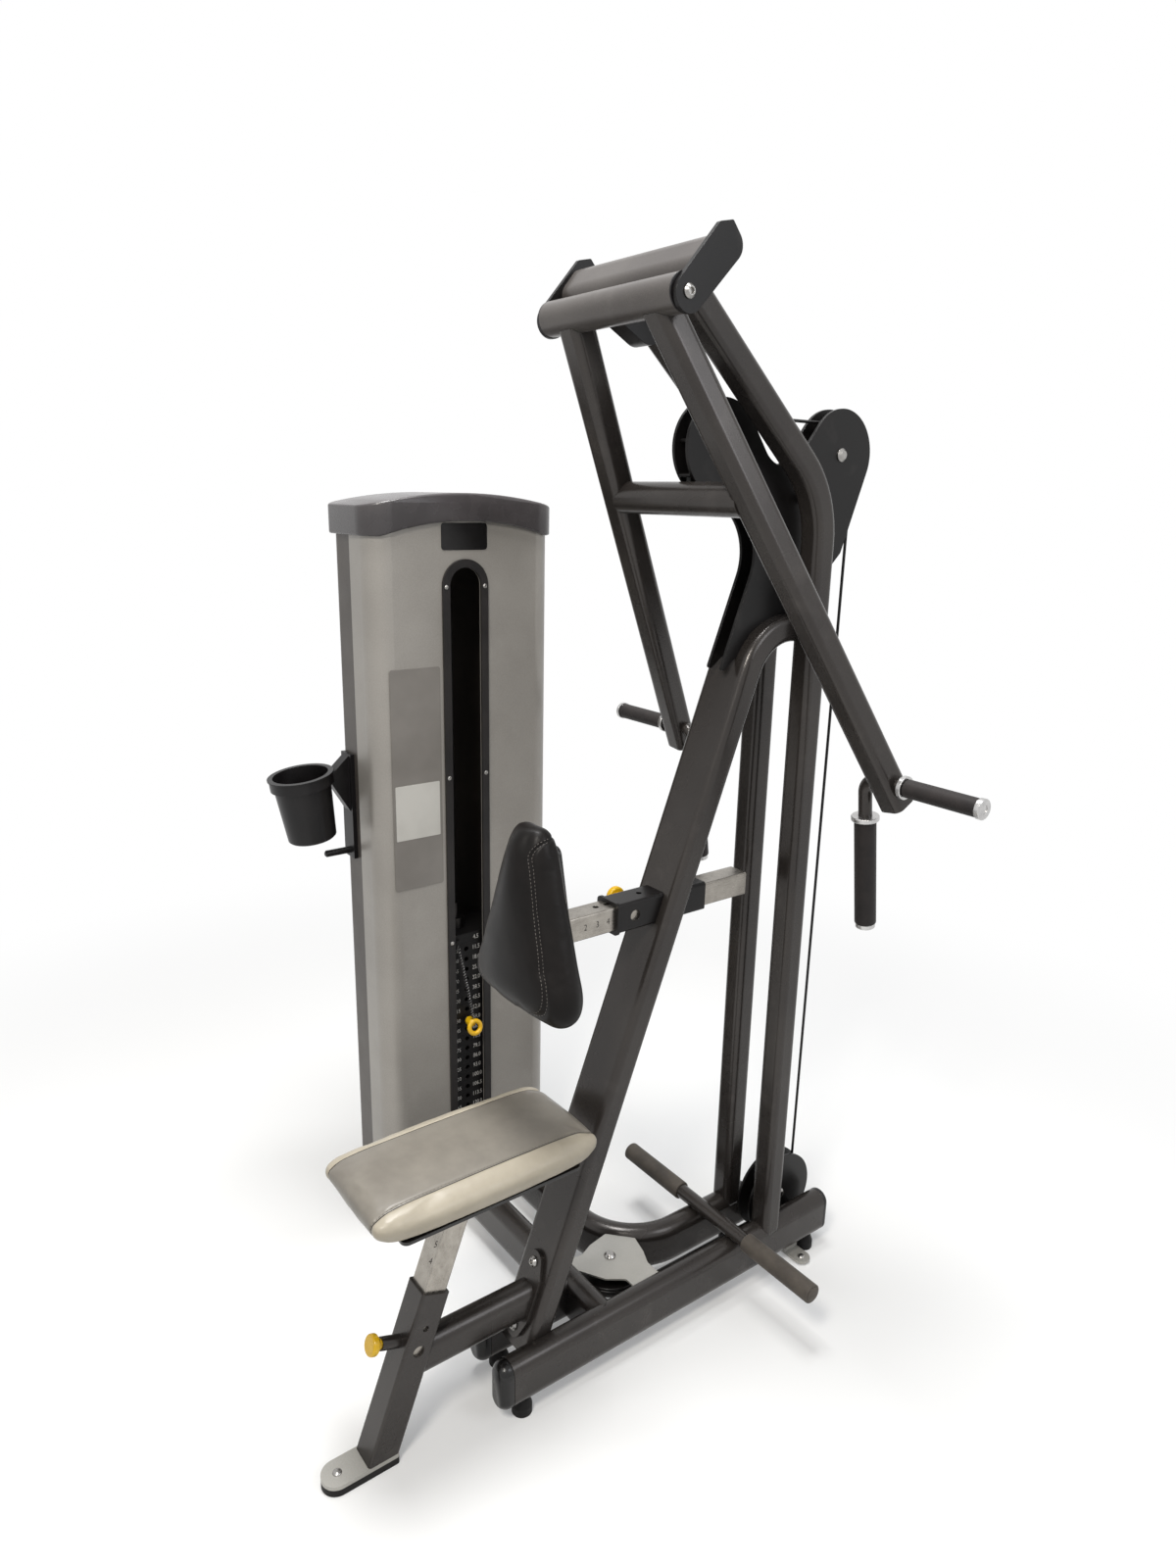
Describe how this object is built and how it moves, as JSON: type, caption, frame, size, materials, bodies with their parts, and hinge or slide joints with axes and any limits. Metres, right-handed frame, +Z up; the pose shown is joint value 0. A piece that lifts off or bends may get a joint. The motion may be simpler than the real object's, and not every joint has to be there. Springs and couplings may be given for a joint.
{
  "type": "seated row machine",
  "caption": "Selectorised seated row machine with swinging arms, cable and weight stack in a tower, sliding seat and chest pad, foot bar and cup holder.",
  "frame": {"origin": "centre of the seat post's rubber foot, on the floor", "axes": "+X to the seated user's right, +Y the way the seated user faces, +Z up"},
  "size_m": [1.2, 1.2169, 2.088],
  "materials": {
    "frame_paint": "satin",
    "plate_paint": "satin",
    "tower_paint": "satin",
    "pad_grey": "satin",
    "cap_plastic": "satin",
    "black_plastic": "satin",
    "seat_vinyl": "satin",
    "chest_vinyl": "satin",
    "yellow_knob": "glossy",
    "grip_rubber": "matte",
    "foot_rubber": "matte",
    "bright_ring": "satin",
    "post_steel": "satin",
    "bolt_steel": "satin",
    "rod_chrome": "polished",
    "stack_black": "satin",
    "cable_black": "satin",
    "bare_plate": "satin"
  },
  "bodies": {
    "frame": {"rail_right": "frame_paint", "front_cross_tube": "frame_paint", "rail_left_stub": "frame_paint", "curved_tube_left": "frame_paint", "rail_caps": "black_plastic", "foot_bar": "frame_paint", "foot_grips": "grip_rubber", "head_cross_tube": "pad_grey", "head_plates": "plate_paint", "pivot_shaft": "bolt_steel", "upright_right": "frame_paint", "upright_left": "frame_paint", "chest_sleeve": "plate_paint", "incline_tube": "frame_paint", "floor_plates": "pad_grey", "seat_sleeve": "frame_paint", "seat_arm": "frame_paint", "pulley_plates": "plate_paint", "pulley_ties": "plate_paint", "cover_plate": "pad_grey", "cable": "cable_black", "tower_shell": "tower_paint", "tower_back": "tower_paint", "window_bezel": "black_plastic", "tower_cap": "cap_plastic", "stack_lower": "stack_black", "rubber_pads": "foot_rubber", "tower_frame": "rod_chrome", "wheel_brackets": "plate_paint", "frame_bolts": "bolt_steel", "face_plates": "bare_plate", "cup_bracket": "black_plastic", "cup": "black_plastic"},
    "arms": {"pivot_tube": "pad_grey", "pivot_bearings": "black_plastic", "arm_right": "frame_paint", "arm_left": "frame_paint", "arm_crossbar": "frame_paint", "handle_bars": "post_steel", "hand_grips": "grip_rubber", "handle_rings": "bright_ring", "arm_lugs": "plate_paint"},
    "stack": {"stack_lifted": "stack_black", "stack_top": "stack_black", "stack_stem": "bolt_steel", "lift_cable": "cable_black", "lanyard": "cable_black"},
    "pin": {"selector_pin": "yellow_knob"},
    "seat": {"seat_post": "post_steel", "seat_pad": "seat_vinyl"},
    "chest": {"chest_post": "post_steel", "chest_pad": "chest_vinyl"},
    "seat_knob": {"seat_pin_knob": "yellow_knob"},
    "chest_knob": {"chest_pin_knob": "yellow_knob"},
    "wheel_front": {"pulley_front": "black_plastic"},
    "wheel_rear": {"pulley_rear": "black_plastic"},
    "wheel_base": {"pulley_base": "black_plastic"},
    "wheel_floor": {"pulley_floor": "black_plastic"},
    "wheel_tower_low": {"pulley_tower_low": "black_plastic"},
    "wheel_tower_top": {"pulley_tower_top": "black_plastic"}
  },
  "joints": [
    {"name": "arms_swing", "type": "hinge", "parent": "frame", "child": "arms", "pos_m": [0, 0.517, 1.983], "axis": [-1, 0, 0], "range_deg": [0, 51]},
    {"name": "stack_lift", "type": "slide", "parent": "frame", "child": "stack", "axis": [0, 0, 1], "range_m": [0, 0.3], "deforming": ["lift_cable"]},
    {"name": "pin_pull", "type": "slide", "parent": "stack", "child": "pin", "axis": [1, 0, 0], "range_m": [0, 0.07]},
    {"name": "seat_slide", "type": "slide", "parent": "frame", "child": "seat", "axis": [0, 0.3469, 0.9379], "range_m": [-0.05, 0.13]},
    {"name": "chest_slide", "type": "slide", "parent": "frame", "child": "chest", "axis": [0, 1, 0], "range_m": [-0.06, 0.07]},
    {"name": "seat_pin_pull", "type": "slide", "parent": "frame", "child": "seat_knob", "axis": [0, -0.9379, 0.3469], "range_m": [0, 0.012], "stiffness_N_per_m": 600, "springref_m": -0.01},
    {"name": "chest_pin_pull", "type": "slide", "parent": "frame", "child": "chest_knob", "axis": [-1, 0, 0], "range_m": [0, 0.012], "stiffness_N_per_m": 600, "springref_m": -0.01},
    {"name": "wheel_front_spin", "type": "hinge", "parent": "frame", "child": "wheel_front", "pos_m": [0, 0.752, 1.781], "axis": [1, 0, 0], "range_deg": [0, 300]},
    {"name": "wheel_rear_spin", "type": "hinge", "parent": "frame", "child": "wheel_rear", "pos_m": [0, 1.062, 1.781], "axis": [1, 0, 0], "range_deg": [0, 300]},
    {"name": "wheel_base_spin", "type": "hinge", "parent": "frame", "child": "wheel_base", "pos_m": [0, 1.055, 0.137], "axis": [1, 0, 0], "range_deg": [0, 300]},
    {"name": "wheel_floor_spin", "type": "hinge", "parent": "frame", "child": "wheel_floor", "pos_m": [-0.057, 0.615, 0.08], "axis": [0, 0, 1], "range_deg": [0, 300]},
    {"name": "wheel_tower_low_spin", "type": "hinge", "parent": "frame", "child": "wheel_tower_low", "pos_m": [-0.61699, 0.558, 0.137], "axis": [0, -1, 0], "range_deg": [0, 300]},
    {"name": "wheel_tower_top_spin", "type": "hinge", "parent": "frame", "child": "wheel_tower_top", "pos_m": [-0.6185, 0.545, 1.566], "axis": [-0.2281, -0.9736, 0], "range_deg": [0, 300]}
  ],
  "couplings": [
    {"joint": "stack_lift", "follows": "arms_swing", "m_per_rad": 0.33},
    {"joint": "wheel_front_spin", "follows": "arms_swing", "ratio": 5.7895},
    {"joint": "wheel_rear_spin", "follows": "arms_swing", "ratio": 5.7895},
    {"joint": "wheel_base_spin", "follows": "arms_swing", "ratio": 5.7895},
    {"joint": "wheel_floor_spin", "follows": "arms_swing", "ratio": 5.7895},
    {"joint": "wheel_tower_low_spin", "follows": "arms_swing", "ratio": 5.7895},
    {"joint": "wheel_tower_top_spin", "follows": "arms_swing", "ratio": 5.7895}
  ]
}
